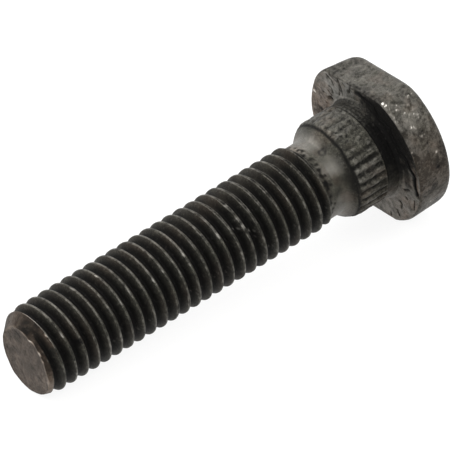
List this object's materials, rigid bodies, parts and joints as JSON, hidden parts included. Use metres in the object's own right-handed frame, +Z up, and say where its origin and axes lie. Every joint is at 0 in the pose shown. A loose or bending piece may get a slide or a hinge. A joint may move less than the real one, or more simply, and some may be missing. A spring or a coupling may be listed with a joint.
{
  "type": "serrated press-in stud",
  "caption": "Forged press-in stud: rolled right-hand thread, short plain shank, serrated press-fit seat, and a thick round head clipped flat on one side.",
  "frame": {"origin": "on the stud's axis, midway along the serrated seat", "axes": "lying at rest on the head's rim and the thread's tip: +Z up, the thread points to -X and dips below the level, the clipped side of the head faces up"},
  "size_m": [0.0519, 0.0186, 0.0168],
  "materials": {
    "stud": "dark phosphate over forged and rolled steel, rubbed bright along the thread crests"
  },
  "bodies": {
    "root": {"stud": "stud"}
  },
  "joints": []
}
